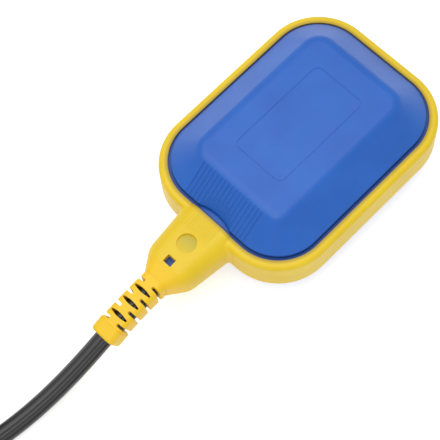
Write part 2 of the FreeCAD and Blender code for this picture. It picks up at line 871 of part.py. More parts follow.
def make_cable_seal():
    """Rubber ring round the sheath, behind the wall of the float."""
    outer = add_level_rod("seal_outer", "-sheath_end - seal_length", "-sheath_end + 0.2", "0", MIDDLE,
                          "seal_radius")
    inner = add_level_rod("seal_bore", "-sheath_end - seal_length", "-sheath_end + 0.2", "0", MIDDLE,
                          "cable_radius")
    cut("cable_seal", outer, [inner])


def add_ring(body, name, inner, outer, low, high, angle="360"):
    """Turns of cable as a ring with its long edges taken off."""
    section = add_sketch(body, name + "_line", "XZ")
    draw_polygon(section, [
        (f"{inner} + coil_chamfer", low),
        (f"{outer} - coil_chamfer", low),
        (outer, f"{low} + coil_chamfer"),
        (outer, f"{high} - coil_chamfer"),
        (f"{outer} - coil_chamfer", high),
        (f"{inner} + coil_chamfer", high),
        (inner, f"{high} - coil_chamfer"),
        (inner, f"{low} + coil_chamfer"),
    ])
    return add_turned(body, "Revolution", name, section, angle)


def make_coil():
    """The put-away cable: three full layers of turns, and a fourth that ends half-way round."""
    body = DOC.addObject("PartDesign::Body", "coil_turns")
    place(body, "coil_x", "coil_y", "0")
    add_ring(body, "coil_layers", "coil_inner", "coil_outer", "0", "coil_step")
    overlap = "(coil_step - 2 * coil_chamfer)"
    add_ring(body, "coil_last_turn", "coil_inner", "coil_last_outer", overlap, "coil_top", "coil_last_sweep")
    add_ring(body, "coil_top_turn", "coil_inner", "coil_top_outer", overlap, "coil_top")
    body.Placement.Rotation = Rotation(Vector(0, 0, 1), value("coil_entry_angle - coil_last_sweep"))
    return body


def make_coil_tie():
    """A strap round the turns, flush with the surface under them."""
    body = DOC.addObject("PartDesign::Body", "coil_tie")
    place(body, "coil_x", "coil_y", "0")
    strap = add_sketch(body, "tie_line", "XZ")
    inner, outer = "coil_inner - tie_ease", "coil_outer"
    draw_polygon(strap, [
        (f"{inner} - tie_thick", "0"),
        (f"{outer} + tie_thick", "0"),
        (f"{outer} + tie_thick", "coil_step + tie_thick / 2"),
        ("coil_last_outer + tie_thick / 2", "coil_top + tie_thick"),
        (f"{inner} - tie_thick", "coil_top + tie_thick"),
    ])
    draw_polygon(strap, [
        (inner, "tie_thick"),
        (outer, "tie_thick"),
        (outer, "coil_step"),
        ("coil_last_outer", "coil_top"),
        (inner, "coil_top"),
    ])
    add_feature(body, "Pad", "tie", strap, "tie_width", both=True)
    body.Placement.Rotation = Rotation(Vector(0, 0, 1), value("tie_angle"))


def make_free_cable():
    """The tube from the neck to the coil, and the coil, which meet face to face."""
    turns = make_coil()
    tube = sweep_round("cable_tube", CABLE_ROUTE, value("cable_radius"))
    cut("cable", tube, [turns])
    notch = add_box("tie_notch", ("coil_inner - 2", "coil_outer + 2"),
                    ("-tie_width / 2", "tie_width / 2"), ("-1", "tie_thick"))
    turn = Rotation(Vector(0, 0, 1), value("tie_angle"))
    centre = Vector(value("coil_x"), value("coil_y"), 0)
    corner = turn.multVec(Vector(value("coil_inner - 2"), -value("tie_width / 2"), -1))
    for axis in "xyz":
        notch.setExpression(f"Placement.Base.{axis}", None)
    notch.Placement = Placement(centre + corner, turn)
    cut("cable_coil", turns, [notch])
    make_coil_tie()


def add_ring_part(name, circle, radius, first_angle, sweep):
    """Part of a ring that lies on the coil's second layer."""
    ring = DOC.addObject("Part::Torus", name)
    bind(ring, "Radius1", circle)
    bind(ring, "Radius2", radius)
    bind(ring, "Angle3", sweep)
    ring.Placement = Placement(Vector(), Rotation(Vector(0, 0, 1), value(first_angle)))
    place(ring, "coil_x", "coil_y", "coil_step + lead_radius")
    return ring


def make_leads():
    """Stripped cores at the far end of the cable, and their bare ends."""
    end = "coil_entry_angle - coil_last_sweep"
    strands = []
    for name, side in (("lead_brown", -1), ("lead_black", 0), ("lead_blue", 1)):
        circle = f"lead_circle + {side} * lead_gap"
        add_ring_part(name, circle, "lead_radius", f"{end} - lead_sweep", "lead_sweep")
        strands.append(add_ring_part(name + "_strand", circle, "strand_radius",
                                     f"{end} - lead_sweep - strand_sweep", "strand_sweep"))
    group("lead_ends", strands)


# ---------------------------------------------------------------- switch

FLOOR = "(carrier_level + carrier_thick)"


def make_carrier():
    """Plate with the ball race: two walls and an end stop."""
    plate = add_box("carrier_plate", ("carrier_left", "carrier_right"),
                    ("-carrier_half", "carrier_half"), ("carrier_level", FLOOR))
    outer = "race_half + race_wall"
    race = add_box("race_block", ("race_left", "carrier_right"), (f"-({outer})", outer), (FLOOR, "race_top"))
    shelf = join("carrier_blank", [plate, race])
    channel = add_box("race_channel", ("race_left - 1", "race_right"), ("-race_half", "race_half"),
                      (FLOOR, "race_top + 1"))
    slot = add_box("clip_slot", ("clip_left - 0.1", "clip_left + clip_length + 0.1"),
                   (f"-({outer}) - 1", f"{outer} + 1"), ("clip_foot - 0.1", "clip_foot + clip_hook + 0.1"))
    holes = [add_rod(f"carrier_hole_{index}", x, y, "carrier_level - 1", f"{FLOOR} + 1",
                     "screw_radius + 0.2")
             for index, (x, y) in enumerate(boss_places())]
    taps = [add_rod(f"carrier_tap_{index}", x, y, "carrier_level - 1", f"{FLOOR} + 1", "switch_hole - 0.1")
            for index, (x, y) in enumerate(switch_holes())]
    cut("switch_carrier", shelf, [channel, slot] + holes + taps)


def make_race_cover():
    """Cover of the race, held by a clip in each wall."""
    outer = "race_half + race_wall"
    lid = add_box("race_lid_plate", ("race_left", "carrier_right"), (f"-({outer})", outer),
                  ("race_top", "race_top + race_lid"))
    pieces = [lid]
    for index, sign in enumerate((1, -1)):
        faces = sorted([f"{sign} * ({outer})", f"{sign} * ({outer} + clip_thick)"], key=value)
        tips = sorted([f"{sign} * ({outer} - 1)", f"{sign} * ({outer} + clip_thick)"], key=value)
        length = ("clip_left", "clip_left + clip_length")
        pieces.append(add_box(f"clip_leg_{index}", length, faces, ("clip_foot", "race_top + race_lid")))
        pieces.append(add_box(f"clip_toe_{index}", length, tips, ("clip_foot", "clip_foot + clip_hook")))
    join("race_cover", pieces)


def make_ball():
    ball = DOC.addObject("Part::Sphere", "steel_ball")
    bind(ball, "Radius", "ball_radius")
    place(ball, "ball_start", "0", f"{FLOOR} + ball_radius + 0.05")


def switch_holes():
    """Places of the microswitch's two fixing holes, as formulas."""
    return [("hole_back", "-hole_half"), ("hole_front", "hole_half")]


def add_switch_layer(label, low, high, lug_low, lug_high, tools):
    """One layer of the microswitch's case, with its lug for the lever's pin."""
    back = "switch_front - switch_depth"
    block = add_box(label + "_block", (back, "switch_front"), ("-switch_half", "switch_half"), (low, high))
    arm = add_box(label + "_arm", ("switch_front - 0.5", "pivot_x"),
                  ("pivot_y - lug_radius", "pivot_y + lug_radius"), (lug_low, lug_high))
    eye = add_rod(label + "_eye", "pivot_x", "pivot_y", lug_low, lug_high, "lug_radius")
    blank = join(label + "_blank", [block, arm, eye])
    holes = [add_rod(f"{label}_hole_{index}", x, y, f"{low} - 1", f"{high} + 1", "switch_hole")
             for index, (x, y) in enumerate(switch_holes())]
    pin_hole = add_rod(label + "_pin_hole", "pivot_x", "pivot_y", f"{low} - 1", f"{high} + 1", "pin_radius")
    cut(label, blank, holes + [pin_hole] + tools)


def make_switch_case():
    half = "(plunger_half + plunger_play)"
    pocket = add_box("plunger_pocket", ("plunger_head - plunger_length - 2", "switch_front + 1"),
                     (f"plunger_y - {half}", f"plunger_y + {half}"),
                     (f"blade_level - {half}", f"blade_level + {half}"))
    add_switch_layer("microswitch_case", FLOOR, "switch_split", FLOOR, "lever_low - 0.2", [pocket])
    add_switch_layer("microswitch_cover", "switch_split", "switch_top", "switch_split", "switch_top", [])
    add_rod("lever_pin", "pivot_x", "pivot_y", FLOOR, "switch_top", "pin_radius")


def make_lever():
    """Flat lever with a rolled eye, drawn closed and turned to its free angle."""
    body = add_body("switch_lever")
    outline = add_sketch(body, "lever_line", "XY", "lever_low")
    draw_polygon(outline, [("lever_near", "0"), ("lever_far", "0"),
                           ("lever_far", "-lever_reach"), ("lever_near", "-lever_reach")])
    add_feature(body, "Pad", "lever_strip", outline, "lever_high - lever_low")
    eye = add_sketch(body, "lever_eye_line", "XY", "lever_low")
    draw_circle(eye, "0", "0", "lever_far")
    add_feature(body, "Pad", "lever_eye", eye, "lever_high - lever_low")
    hole = add_sketch(body, "lever_hole_line", "XY", "lever_low")
    draw_circle(hole, "0", "0", "pin_radius + 0.05")
    add_feature(body, "Pocket", "lever_hole", hole, "lever_high - lever_low", back=True)
    body.Placement.Rotation = Rotation(Vector(0, 0, 1), value("lever_free"))
    place(body, "pivot_x", "pivot_y", "0")


def make_plunger():
    block = add_box("plunger_block", ("plunger_head - plunger_length", "plunger_head"),
                    ("plunger_y - plunger_half", "plunger_y + plunger_half"),
                    ("blade_level - plunger_half", "blade_level + plunger_half"))
    DOC.recompute()
    head = DOC.addObject("Part::Chamfer", "microswitch_plunger")
    head.Base = block
    front = value("plunger_head")
    head.Edges = [(index, 0.5, 0.5) for index, edge in enumerate(block.Shape.Edges, start=1)
                  if abs(edge.BoundBox.XMin - front) < 1e-6]


def make_terminals():
    """Three blades on the back of the microswitch, and the receptacles on them."""
    back = "(switch_front - switch_depth)"
    sleeves = []
    for name, side in (("terminal_common", -1), ("terminal_open", 0), ("terminal_closed", 1)):
        y = f"{side} * blade_pitch"
        span = (f"{y} - blade_thick / 2", f"{y} + blade_thick / 2")
        level = ("blade_level - blade_half_width", "blade_level + blade_half_width")
        add_box(name, (f"{back} - blade_length", back), span, level)
        outer = add_box(name + "_sleeve", (f"{back} - blade_length - 1.5", f"{back} - 1.5"),
                        (f"{y} - receptacle_thick / 2", f"{y} + receptacle_thick / 2"),
                        ("blade_level - receptacle_half_width", "blade_level + receptacle_half_width"))
        slot = add_box(name + "_slot", (f"{back} - blade_length", back), span, level)
        sleeves.append(cut(name + "_receptacle", outer, [slot]))
    group("receptacles", sleeves)


def make_cores():
    """The cores, from the sheath's end to the receptacles."""
    sleeve_end = value("switch_front - switch_depth - blade_length - 1.5")
    sheath_end, middle = -value("sheath_end"), value(MIDDLE)
    level, pitch = value("blade_level"), value("blade_pitch")
    lay = {"core_brown": (-1.4, 0.8, -1), "core_black": (0.0, -1.6, 0), "core_blue": (1.4, 0.8, 1)}
    for name, (y, z, side) in lay.items():
        sweep_round(name, [
            (sheath_end, y, middle + z),
            (sheath_end + 6, y, middle + z),
            (sleeve_end - 5, side * pitch, level),
            (sleeve_end, side * pitch, level),
        ], value("core_radius"))


def add_screw(name, x, y, low, seat, radius, head):
    shank = add_rod(name + "_shank", x, y, low, seat, radius)
    top = add_rod(name + "_head", x, y, seat, f"{seat} + 1.8", head)
    drive = add_box(name + "_drive", (f"{x} - 0.4", f"{x} + 0.4"), (f"{y} - {head} * 0.7", f"{y} + {head} * 0.7"),
                    (f"{seat} + 0.9", f"{seat} + 2"))
    return cut(name, join(name + "_blank", [shank, top]), [drive])


def make_screws():
    group("carrier_screws", [
        add_screw(f"carrier_screw_{index}", x, y, "wall + 1", FLOOR, "screw_radius", "screw_head")
        for index, (x, y) in enumerate(boss_places())])
    group("microswitch_screws", [
        add_screw(f"microswitch_screw_{index}", x, y, "carrier_level", "switch_top", "switch_hole - 0.1",
                  "screw_head - 0.2")
        for index, (x, y) in enumerate(switch_holes())])


# ---------------------------------------------------------------- output

NODES = [
    "overmould", "upper_shell", "lower_shell", "cable_seal", "cable", "cable_coil",
    "coil_tie", "lead_brown", "lead_black", "lead_blue", "lead_ends", "switch_carrier",
    "carrier_screws", "race_cover", "steel_ball", "microswitch_case", "microswitch_cover",
    "microswitch_plunger", "microswitch_screws", "switch_lever", "lever_pin", "terminal_common",
    "terminal_open", "terminal_closed", "receptacles", "core_brown", "core_black", "core_blue",
]


def check_document():
    """Stop if any object failed or any node's shape is null or not valid."""
    failed = [item.Name for item in DOC.Objects if {"Invalid", "Error"} & set(item.State)]
    if failed:
        raise RuntimeError(f"failed objects: {failed}")
    for label in NODES:
        shape = DOC.getObject(label).Shape
        if shape.isNull() or not shape.isValid() or not shape.Solids:
            raise RuntimeError(f"{label}: its shape is null or not valid")
        print(f"{label}: {len(shape.Solids)} solids, {len(shape.Faces)} faces, {shape.Volume:.0f} mm3")


def write_steps():
    os.makedirs("parts", exist_ok=True)
    for label in NODES:
        DOC.getObject(label).Shape.exportStep(f"parts/{label}.step")


make_shells()
make_overmould()
make_cable_seal()
make_free_cable()
make_leads()
make_carrier()
make_race_cover()
make_ball()
make_switch_case()
make_lever()
make_plunger()
make_terminals()
make_cores()
make_screws()
DOC.recompute()
check_document()
write_steps()
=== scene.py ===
# Float level switch: blue two-part float in a yellow moulded rim, with a slotted
# strain relief and a black rubber cable. Metres, same frame as the CAD.
import math

import bmesh
import bpy
from mathutils import Matrix, Vector


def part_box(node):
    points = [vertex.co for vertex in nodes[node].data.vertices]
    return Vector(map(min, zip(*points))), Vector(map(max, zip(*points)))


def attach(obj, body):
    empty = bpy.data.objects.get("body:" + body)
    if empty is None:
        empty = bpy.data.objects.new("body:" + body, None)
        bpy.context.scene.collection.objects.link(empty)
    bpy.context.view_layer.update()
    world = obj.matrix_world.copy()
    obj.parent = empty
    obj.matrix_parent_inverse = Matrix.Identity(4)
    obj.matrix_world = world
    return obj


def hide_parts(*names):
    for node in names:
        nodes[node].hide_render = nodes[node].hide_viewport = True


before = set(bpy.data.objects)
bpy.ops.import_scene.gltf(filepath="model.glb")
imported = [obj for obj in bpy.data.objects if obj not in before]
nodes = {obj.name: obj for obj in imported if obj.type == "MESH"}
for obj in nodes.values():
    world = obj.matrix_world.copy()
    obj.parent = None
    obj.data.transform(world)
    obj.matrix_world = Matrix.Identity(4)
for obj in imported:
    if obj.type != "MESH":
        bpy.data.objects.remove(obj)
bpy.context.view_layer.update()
mm = 0.001
middle = (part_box("overmould")[0][2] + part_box("overmould")[1][2]) / 2    # the float's joint plane
print("frame loaded:", len(nodes), "nodes")


# small helpers for node trees

cloudEnds = (0.35, 0.65)    # noise values at which a cloud has its full shade
patchShare = 0.4            # size of the patches in the roughness, as a share of the clouds
patchSwing = 0.12           # how far the roughness strays in moulded plastic, as a share
markSwing = 0.2             # and in metal


def hexToLinear(code):
    # sRGB hex to the linear colour that the shaders take
    parts = [int(code[i:i + 2], 16) / 255 for i in (1, 3, 5)]
    return [c / 12.92 if c <= 0.04045 else ((c + 0.055) / 1.055) ** 2.4 for c in parts] + [1.0]


def addNode(tree, kind, inputs=None, **settings):
    # inputs by name or number: a plain value, or (node, output) for a link
    node = tree.nodes.new("ShaderNode" + kind)
    for name, value in settings.items():
        setattr(node, name, value)
    for name, value in (inputs or {}).items():
        if isinstance(value, tuple):
            tree.links.new(value[0].outputs[value[1]], node.inputs[name])
        else:
            node.inputs[name].default_value = value
    return node


def startMaterial(name):
    material = bpy.data.materials.new(name)
    material.use_nodes = True
    material.node_tree.nodes.clear()
    return material, material.node_tree


def twoTone(tree, place, look):
    # slow clouds between two close shades, as pigment flows in a mould
    clouds = addNode(tree, "TexNoise", {"Vector": place, "Scale": 1 / (look["cloudMm"] * mm), "Detail": 3.0})
    tint = addNode(tree, "ValToRGB", {"Fac": (clouds, "Fac")})
    for end, position, shade in zip(tint.color_ramp.elements, cloudEnds, (look["deep"], look["light"])):
        end.position = position
        end.color = hexToLinear(shade)
    return tint, "Color"


def grainBump(tree, place, look, under=None):
    # the fine grain that a spark-eroded mould leaves, which breaks up the highlights
    grain = addNode(tree, "TexNoise", {"Vector": place, "Scale": 1 / (look["grainMm"] * mm), "Detail": 3.0})
    inputs = {"Height": (grain, "Fac"), "Strength": look["grainStrength"],
              "Distance": look["grainDepthMm"] * mm}
    if under:
        inputs["Normal"] = under
    return addNode(tree, "Bump", inputs), "Normal"


def unevenRoughness(tree, place, look):
    # slow patches, a little glossier or duller than the rest
    patches = addNode(tree, "TexNoise", {"Vector": place, "Scale": 1 / (look["cloudMm"] * patchShare * mm)})
    rough = addNode(tree, "MapRange", {
        "Value": (patches, "Fac"), "To Min": look["roughness"] * (1 - patchSwing),
        "To Max": look["roughness"] * (1 + patchSwing)})
    return rough, "Result"


def cornerDistance(tree, place, half, corner):
    # how far a point is, seen from above, from the corner centres of a rounded rectangle
    # and the lines between them: it is the corner's radius on the outline itself
    flat = addNode(tree, "VectorMath", {0: place}, operation="ABSOLUTE")
    past = addNode(tree, "VectorMath", {0: (flat, 0), 1: [
        (half[0] - corner) * mm, (half[1] - corner) * mm, 1.0]}, operation="SUBTRACT")
    past = addNode(tree, "VectorMath", {0: (past, 0), 1: [0.0, 0.0, 0.0]}, operation="MAXIMUM")
    return addNode(tree, "VectorMath", {0: (past, 0)}, operation="LENGTH"), "Value"


def mouldedPlastic(name, look):
    # Injection-moulded plastic: an even colour with faint flow clouds, a soft satin
    # highlight and a fine grain.
    material, tree = startMaterial(name)
    place = (addNode(tree, "TexCoord"), "Object")
    shader = addNode(tree, "BsdfPrincipled", {
        "Base Color": twoTone(tree, place, look), "Roughness": unevenRoughness(tree, place, look),
        "Normal": grainBump(tree, place, look), "IOR": look["ior"]})
    addNode(tree, "OutputMaterial", {"Surface": (shader, "BSDF")})
    return material


def metal(name, look):
    # Plated or polished metal: its own colour, with fine drawing marks in the roughness
    material, tree = startMaterial(name)
    place = (addNode(tree, "TexCoord"), "Object")
    marks = addNode(tree, "TexNoise", {"Vector": place, "Scale": 1 / (look["markMm"] * mm)})
    rough = addNode(tree, "MapRange", {
        "Value": (marks, "Fac"), "To Min": look["roughness"] * (1 - markSwing),
        "To Max": look["roughness"] * (1 + markSwing)})
    shader = addNode(tree, "BsdfPrincipled", {
        "Base Color": hexToLinear(look["colour"]), "Metallic": 1.0, "Roughness": (rough, "Result")})
    addNode(tree, "OutputMaterial", {"Surface": (shader, "BSDF")})
    return material


# the yellow rim, neck and strain relief

# places and widths are in mm from the float's middle
rimLook = {
    "deep": "#e9c60e", "light": "#efcd16", "cloudMm": 18, "grainMm": 0.5, "grainStrength": 0.2,
    "grainDepthMm": 0.05, "ior": 1.53, "roughness": 0.46,
    # yellow over blue on the recess's floor, and how much of it shows on either side
    "skin": "#b3b04c", "skinAtCable": 0.1, "skinAtFloat": 0.85,
    "recessPlace": -63.3, "recessRadius": 4.1, "recessEdge": 0.5,
    # painted light: a brighter yellow towards the strain relief, where its slope faces the lamps
    "tipPaintedLight": "#f6c90c", "tipLightFrom": -70.0, "tipLightTo": -79.0,
    # painted shade on the lip of the rim's opening round the cover, where it rounds down into the channel
    "lip": "#8f7420", "lipWidth": 1.7, "lipShade": 0.75,
    "openingHalf": (49.5, 36.8), "openingCorner": 20.8,
    # the flow ribs on the neck, and the lengths over which they fade
    "ribPitchMm": 1.93, "ribDepthMm": 0.12, "ribFrom": -62.0, "ribTo": -50.5, "ribHalfWidth": 7.5,
    "ribFadeFrom": 5, "ribFadeTo": 0.6, "ribFadeSide": 2,
    "partingWidthMm": 0.35, "partingDepthMm": 0.05,
}


def softPvc(look):
    # Soft PVC moulded over the float: lemon yellow with a satin highlight, and painted light making it
    # brighter towards the strain relief. It is thin over the pillar, where the blue dulls it to green, and
    # painted shade browns it at the lip. It has fine flow ribs on the neck and the mould's parting line round
    # the rim.
    material, tree = startMaterial("moulded soft PVC")
    coordinates = addNode(tree, "TexCoord")
    place = (coordinates, "Object")
    axes = addNode(tree, "SeparateXYZ", {0: place})
    x, y, z = ((axes, axis) for axis in "XYZ")

    # the thin skin on the recess's floor, thinnest on its float side
    flat = addNode(tree, "CombineXYZ", {"X": x, "Y": y})
    away = addNode(tree, "VectorMath", {0: (flat, 0), 1: [look["recessPlace"] * mm, 0, 0]},
                   operation="DISTANCE")
    inRecess = addNode(tree, "MapRange", {
        "Value": (away, "Value"), "From Min": look["recessRadius"] * mm,
        "From Max": (look["recessRadius"] - look["recessEdge"]) * mm}, interpolation_type="SMOOTHSTEP")
    thin = addNode(tree, "MapRange", {
        "Value": x, "From Min": (look["recessPlace"] - look["recessRadius"]) * mm,
        "From Max": (look["recessPlace"] + look["recessRadius"]) * mm,
        "To Min": look["skinAtCable"], "To Max": look["skinAtFloat"]})
    thin = addNode(tree, "Math", {0: (inRecess, "Result"), 1: (thin, "Result")}, operation="MULTIPLY")

    # painted light: the yellow turns brighter towards the cable, where the strain relief's slope faces the
    # lamps
    tipLight = addNode(tree, "MapRange", {"Value": x, "From Min": look["tipLightFrom"] * mm,
                                      "From Max": look["tipLightTo"] * mm}, interpolation_type="SMOOTHSTEP")
    colour = addNode(tree, "MixRGB", {"Fac": (tipLight, "Result"), "Color1": twoTone(tree, place, look),
                                      "Color2": hexToLinear(look["tipPaintedLight"])})
    colour = addNode(tree, "MixRGB", {"Fac": (thin, 0), "Color1": (colour, "Color"),
                                      "Color2": hexToLinear(look["skin"])})

    # painted shade: the thin lip round the cover turns darker and browner towards its edge, standing in for
    # its rounding and the channel's shadow
    corner = look["openingCorner"]
    lip = addNode(tree, "MapRange", {
        "Value": cornerDistance(tree, place, look["openingHalf"], corner), "From Min": corner * mm,
        "From Max": (corner + look["lipWidth"]) * mm, "To Min": look["lipShade"], "To Max": 0.0})
    colour = addNode(tree, "MixRGB", {"Fac": (lip, "Result"), "Color1": (colour, "Color"),
                                      "Color2": hexToLinear(look["lip"])})

    # the flow ribs fade out at their ends and sides
    ribs = addNode(tree, "Math", {0: y, 1: 2 * math.pi / (look["ribPitchMm"] * mm)}, operation="MULTIPLY")
    ribs = addNode(tree, "Math", {0: (ribs, 0)}, operation="SINE")
    across = addNode(tree, "Math", {0: y}, operation="ABSOLUTE")
    for value, outside, inside in (
            (x, look["ribFrom"], look["ribFrom"] + look["ribFadeFrom"]),
            (x, look["ribTo"], look["ribTo"] - look["ribFadeTo"]),
            ((across, 0), look["ribHalfWidth"], look["ribHalfWidth"] - look["ribFadeSide"])):
        fade = addNode(tree, "MapRange", {"Value": value, "From Min": outside * mm, "From Max": inside * mm},
                       interpolation_type="SMOOTHSTEP")
        ribs = addNode(tree, "Math", {0: (ribs, 0), 1: (fade, "Result")}, operation="MULTIPLY")
    ribBump = addNode(tree, "Bump", {"Height": (ribs, 0), "Strength": 1.0,
                                     "Distance": look["ribDepthMm"] * mm})

    # the parting line, where the two halves of the mould meet
    above = addNode(tree, "Math", {0: z, 1: middle}, operation="SUBTRACT")
    above = addNode(tree, "Math", {0: (above, 0)}, operation="ABSOLUTE")
    parting = addNode(tree, "MapRange", {"Value": (above, 0), "From Min": look["partingWidthMm"] * mm,
                                         "From Max": 0.0}, interpolation_type="SMOOTHSTEP")
    lineBump = addNode(tree, "Bump", {"Height": (parting, "Result"), "Strength": 1.0,
                                      "Normal": (ribBump, "Normal"), "Distance": look["partingDepthMm"] * mm})
    shader = addNode(tree, "BsdfPrincipled", {
        "Base Color": (colour, "Color"), "Roughness": unevenRoughness(tree, place, look),
        "Normal": grainBump(tree, place, look, (lineBump, "Normal")), "IOR": look["ior"]})
    addNode(tree, "OutputMaterial", {"Surface": (shader, "BSDF")})
    return material


# the blue cover's halves

# places and widths are in mm from the float's middle
coverLook = {
    "deep": "#185dbc", "light": "#1d64c4", "cloudMm": 22, "grainMm": 0.45, "grainStrength": 0.25,
    "grainDepthMm": 0.05, "ior": 1.49, "roughness": 0.4,
    # painted shade deep in the channel and the grip grooves, and how much of it shows in each
    "shade": "#0b2b6c", "channelShade": 0.6, "grooveShade": 0.16,
    # the step's outline inside the channel, and where the shade starts and is full
    "stepHalf": (48.15, 35.45), "stepCorner": 19.45, "channelFrom": -0.35, "channelTo": 0.05,
    "groovePitchMm": 1.93, "grooveHalfWidth": 16.3, "grooveEnd": -36.6,
    # the wave across the grooves, from a ridge's value to a groove's
    "ridgeWave": -0.6, "grooveWave": 0.8,
    # the grooved slope is where height - slope * x is slopeTop
    "slope": 0.9036, "slopeTop": 53.01,
    # how far off the slope, past its end and past its sides the grooves fade
    "fadeOff": (0.6, 0.35), "fadeEnd": 1, "fadeSide": 0.2,
}


def coverPlastic(look):
    # Moulded polypropylene: deep blue, faintly cloudy, with a satin highlight. The channel at
    # the rim and the fine grip grooves are darkened with painted shade.
    material, tree = startMaterial("moulded blue polypropylene")
    place = (addNode(tree, "TexCoord"), "Object")
    axes = addNode(tree, "SeparateXYZ", {0: place})
    x, y, z = ((axes, axis) for axis in "XYZ")

    # painted shade in the channel between the cover's step and the rim
    corner = look["stepCorner"]
    channel = addNode(tree, "MapRange", {
        "Value": cornerDistance(tree, place, look["stepHalf"], corner),
        "From Min": (corner + look["channelFrom"]) * mm,
        "From Max": (corner + look["channelTo"]) * mm}, interpolation_type="SMOOTHSTEP")

    # painted shade in the grip grooves on the slope by the neck
    height = addNode(tree, "Math", {0: z, 1: middle}, operation="SUBTRACT")
    height = addNode(tree, "Math", {0: (height, 0)}, operation="ABSOLUTE")
    side = addNode(tree, "CombineXYZ", {"X": x, "Z": (height, 0)})
    level = addNode(tree, "VectorMath", {0: (side, 0), 1: [-look["slope"], 0.0, 1.0]},
                    operation="DOT_PRODUCT")
    wave = addNode(tree, "Math", {0: y, 1: 2 * math.pi / (look["groovePitchMm"] * mm)}, operation="MULTIPLY")
    wave = addNode(tree, "Math", {0: (wave, 0)}, operation="COSINE")
    across = addNode(tree, "Math", {0: y}, operation="ABSOLUTE")
    grooves = (addNode(tree, "MapRange", {
        "Value": (wave, 0), "From Min": look["ridgeWave"], "From Max": look["grooveWave"]},
        interpolation_type="SMOOTHSTEP"), "Result")
    for value, outside, inside in (
            ((level, "Value"), look["slopeTop"] - look["fadeOff"][0], look["slopeTop"] - look["fadeOff"][1]),
            (x, look["grooveEnd"], look["grooveEnd"] - look["fadeEnd"]),
            ((across, 0), look["grooveHalfWidth"] + look["fadeSide"], look["grooveHalfWidth"])):
        fade = addNode(tree, "MapRange", {"Value": value, "From Min": outside * mm, "From Max": inside * mm},
                       interpolation_type="SMOOTHSTEP")
        grooves = addNode(tree, "Math", {0: grooves, 1: (fade, "Result")}, operation="MULTIPLY"), 0
    # painted shade: the darker of the grooves' and the channel's shade goes into the colour
    shaded = addNode(tree, "Math", {0: grooves, 1: look["grooveShade"]}, operation="MULTIPLY")
    channel = addNode(tree, "Math", {0: (channel, "Result"), 1: look["channelShade"]}, operation="MULTIPLY")
    shaded = addNode(tree, "Math", {0: (shaded, 0), 1: (channel, 0)}, operation="MAXIMUM")
    colour = addNode(tree, "MixRGB", {"Fac": (shaded, 0), "Color1": twoTone(tree, place, look),
                                      "Color2": hexToLinear(look["shade"])})
    shader = addNode(tree, "BsdfPrincipled", {
        "Base Color": (colour, "Color"), "Roughness": unevenRoughness(tree, place, look),
        "Normal": grainBump(tree, place, look), "IOR": look["ior"]})
    addNode(tree, "OutputMaterial", {"Surface": (shader, "BSDF")})
    return material


# the sheath's rubber, with streaks along it that the cable's mesh carries as an attribute

sheathLook = {
    "deep": "#212123", "light": "#2d2d2f", "streakEnds": (0.3, 0.7),
    "streakMm": 0.9, "streakLengthMm": 40, "streakDepthMm": 0.06, "streakStrength": 0.5,
    # painted shade in the creases: its colour, and the sinking over which it comes in
    "hollow": "#0e0e0f", "hollowFrom": 0.06, "hollowTo": 0.3,    # mm below the sheath's full round
    "grainMm": 0.35, "grainStrength": 0.15, "grainDepthMm": 0.03, "ior": 1.52, "roughness": 0.32,
}


def extrudedRubber(look):
    # Black rubber drawn through a die: dark grey and half gloss, with long fine streaks,
    # and painted shade darkening its creases
    material, tree = startMaterial("extruded black rubber")
    place = (addNode(tree, "TexCoord"), "Object")
    along = (addNode(tree, "Attribute", attribute_name="along"), "Vector")
    streaks = addNode(tree, "TexNoise", {
        "Vector": along, "Scale": 1 / (look["streakMm"] * mm), "Detail": 2.0})
    tint = addNode(tree, "ValToRGB", {"Fac": (streaks, "Fac")})
    for end, position, shade in zip(tint.color_ramp.elements, look["streakEnds"],
                                    (look["deep"], look["light"])):
        end.position = position
        end.color = hexToLinear(shade)
    # painted shade: the deeper the sheath sinks in a crease, the closer it comes to the hollow colour
    sunk = addNode(tree, "Attribute", attribute_name="sunk")
    dark = addNode(tree, "MapRange", {
        "Value": (sunk, "Fac"), "From Min": look["hollowFrom"], "From Max": look["hollowTo"]})
    colour = addNode(tree, "MixRGB", {"Fac": (dark, "Result"), "Color1": (tint, "Color"),
                                      "Color2": hexToLinear(look["hollow"])})
    drawn = addNode(tree, "Bump", {"Height": (streaks, "Fac"), "Strength": look["streakStrength"],
                                   "Distance": look["streakDepthMm"] * mm})
    shader = addNode(tree, "BsdfPrincipled", {
        "Base Color": (colour, "Color"), "Roughness": look["roughness"],
        "Normal": grainBump(tree, place, look, (drawn, "Normal")), "IOR": look["ior"]})
    addNode(tree, "OutputMaterial", {"Surface": (shader, "BSDF")})
    return material


yellowPvc = softPvc(rimLook)
sheathRubber = extrudedRubber(sheathLook)
bluePolypropylene = coverPlastic(coverLook)
sealRubber = mouldedPlastic("moulded black rubber", {
    "deep": "#1f1f20", "light": "#29292a", "cloudMm": 4, "grainMm": 0.3, "grainStrength": 0.3,
    "grainDepthMm": 0.04, "ior": 1.52, "roughness": 0.6})
blackNylon = mouldedPlastic("moulded black nylon", {
    "deep": "#141416", "light": "#1b1b1d", "cloudMm": 5, "grainMm": 0.3, "grainStrength": 0.2,
    "grainDepthMm": 0.03, "ior": 1.53, "roughness": 0.45})
greyAbs = mouldedPlastic("moulded grey ABS", {
    "deep": "#c9c8c2", "light": "#d2d1cb", "cloudMm": 9, "grainMm": 0.4, "grainStrength": 0.2,
    "grainDepthMm": 0.04, "ior": 1.54, "roughness": 0.4})
redNylon = mouldedPlastic("moulded red nylon", {
    "deep": "#a32318", "light": "#b02a1d", "cloudMm": 3, "grainMm": 0.2, "grainStrength": 0.2,
    "grainDepthMm": 0.02, "ior": 1.53, "roughness": 0.4})
